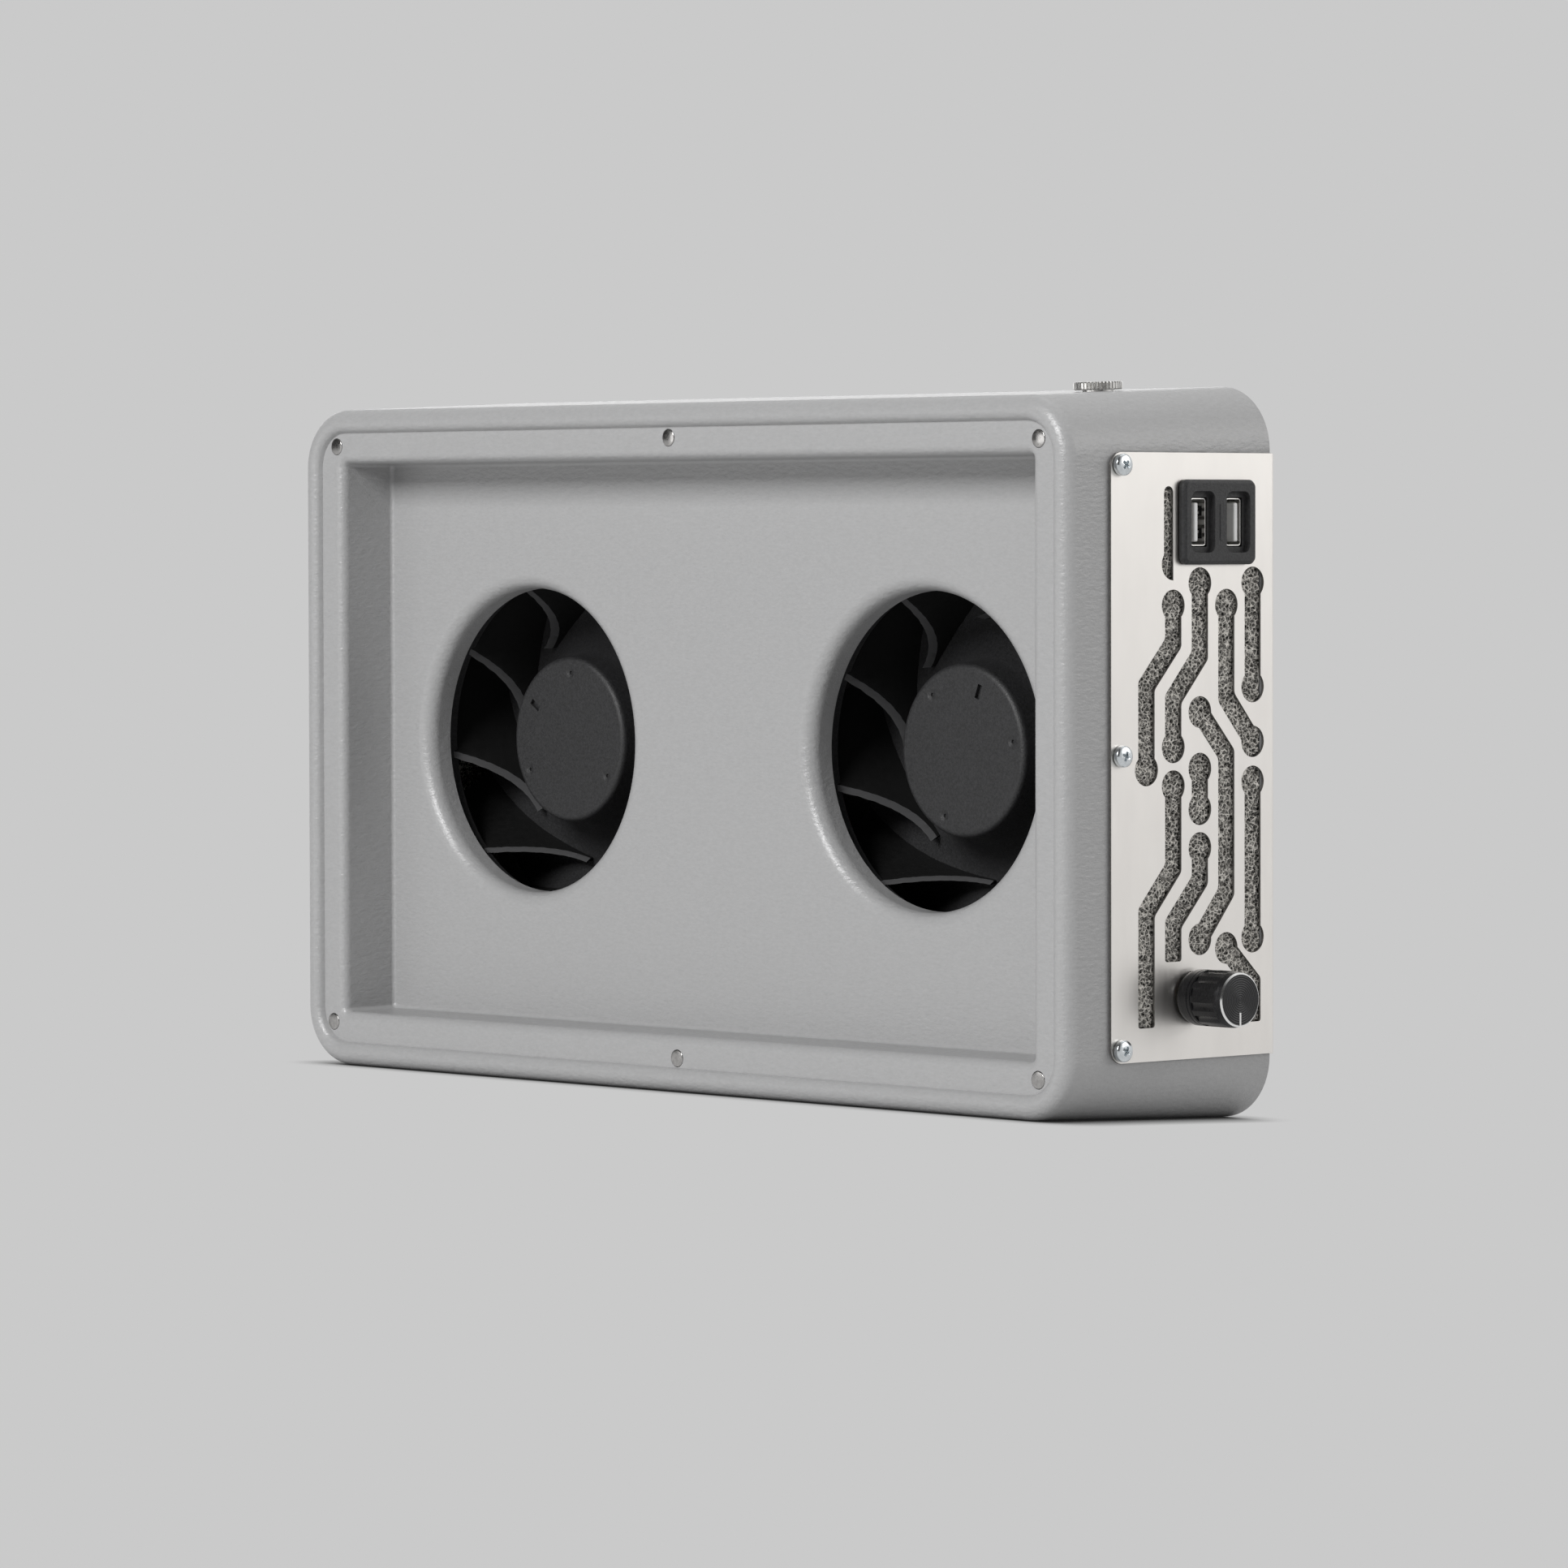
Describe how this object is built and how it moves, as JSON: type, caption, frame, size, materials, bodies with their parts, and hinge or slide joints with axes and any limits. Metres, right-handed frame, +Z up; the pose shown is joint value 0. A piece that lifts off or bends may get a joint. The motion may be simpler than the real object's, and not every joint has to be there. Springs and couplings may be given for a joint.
{
  "type": "box fan",
  "caption": "Table-top dust extractor: grey tray-shaped shell with a deep recess, twin intakes with radial impellers, folded steel cover with side vents, speed knob and charging socket.",
  "frame": {"origin": "under the middle of the whole object, at the height of its lowest edge", "axes": "+Z up, -Y the intake side with the recess, +X the control side"},
  "size_m": [0.3512, 0.081, 0.2059],
  "materials": {
    "grey_plastic": "vacuum-formed sheet with a fine leather grain, satin",
    "brushed_steel": "stainless sheet, fine upright brushing",
    "zinc": "bright zinc plate",
    "nickel": "bright nickel plate",
    "black_plastic": "fine spark-eroded texture",
    "white_plastic": "plain white contact carrier",
    "black_anodised": "black anodised, turned face with a bright chamfer",
    "foam": "open-cell reticulated foam",
    "copper": "enamelled winding and steel core",
    "ferrite": "pressed ferrite, matte",
    "circuit_board": "green solder mask",
    "brass": "turned brass"
  },
  "bodies": {
    "root": {"bearing_front_left": "zinc", "bearing_rear_left": "zinc", "stator_left": "copper", "motor_board_left": "circuit_board", "motor_base_left": "black_plastic", "motor_screw_left_1": "zinc", "motor_screw_left_2": "zinc", "motor_screw_left_3": "zinc", "side_screw_left_top": "zinc", "side_screw_left_middle": "zinc", "side_screw_left_bottom": "zinc", "foam_filter_left": "foam", "bearing_front_right": "zinc", "bearing_rear_right": "zinc", "stator_right": "copper", "motor_board_right": "circuit_board", "motor_base_right": "black_plastic", "motor_screw_right_1": "zinc", "motor_screw_right_2": "zinc", "motor_screw_right_3": "zinc", "side_screw_right_top": "zinc", "side_screw_right_middle": "zinc", "side_screw_right_bottom": "zinc", "foam_filter_right": "foam", "front_shell": "grey_plastic", "folded_cover": "brushed_steel", "magnet_top_left": "nickel", "magnet_top_middle": "nickel", "magnet_top_right": "nickel", "magnet_bottom_left": "nickel", "magnet_bottom_middle": "nickel", "magnet_bottom_right": "nickel", "charger_bezel": "black_plastic", "charger_board": "circuit_board", "charger_port_shell_1": "nickel", "charger_port_tongue_1": "white_plastic", "charger_port_shell_2": "nickel", "charger_port_tongue_2": "white_plastic", "control_body": "zinc", "control_nut": "brass", "power_socket": "nickel", "power_socket_ring": "nickel", "speed_board": "circuit_board"},
    "impeller_left": {"impeller_left": "black_plastic", "rotor_yoke_left": "zinc", "magnet_ring_left": "ferrite", "rotor_shaft_left": "zinc"},
    "impeller_right": {"impeller_right": "black_plastic", "rotor_yoke_right": "zinc", "magnet_ring_right": "ferrite", "rotor_shaft_right": "zinc"},
    "speed_knob": {"speed_knob": "black_anodised", "control_shaft": "zinc"}
  },
  "joints": [
    {"name": "impeller_left_spin", "type": "hinge", "parent": "root", "child": "impeller_left", "pos_m": [-0.09232, 0.0118, 0.10228], "axis": [0, -1, 0], "continuous": true},
    {"name": "impeller_right_spin", "type": "hinge", "parent": "root", "child": "impeller_right", "pos_m": [0.07528, 0.0118, 0.10228], "axis": [0, -1, 0], "continuous": true},
    {"name": "speed_knob_turn", "type": "hinge", "parent": "root", "child": "speed_knob", "pos_m": [0.16212, 0.00603, 0.03588], "axis": [-0.9993, 0.0385, 0], "range_deg": [0, 300]}
  ]
}
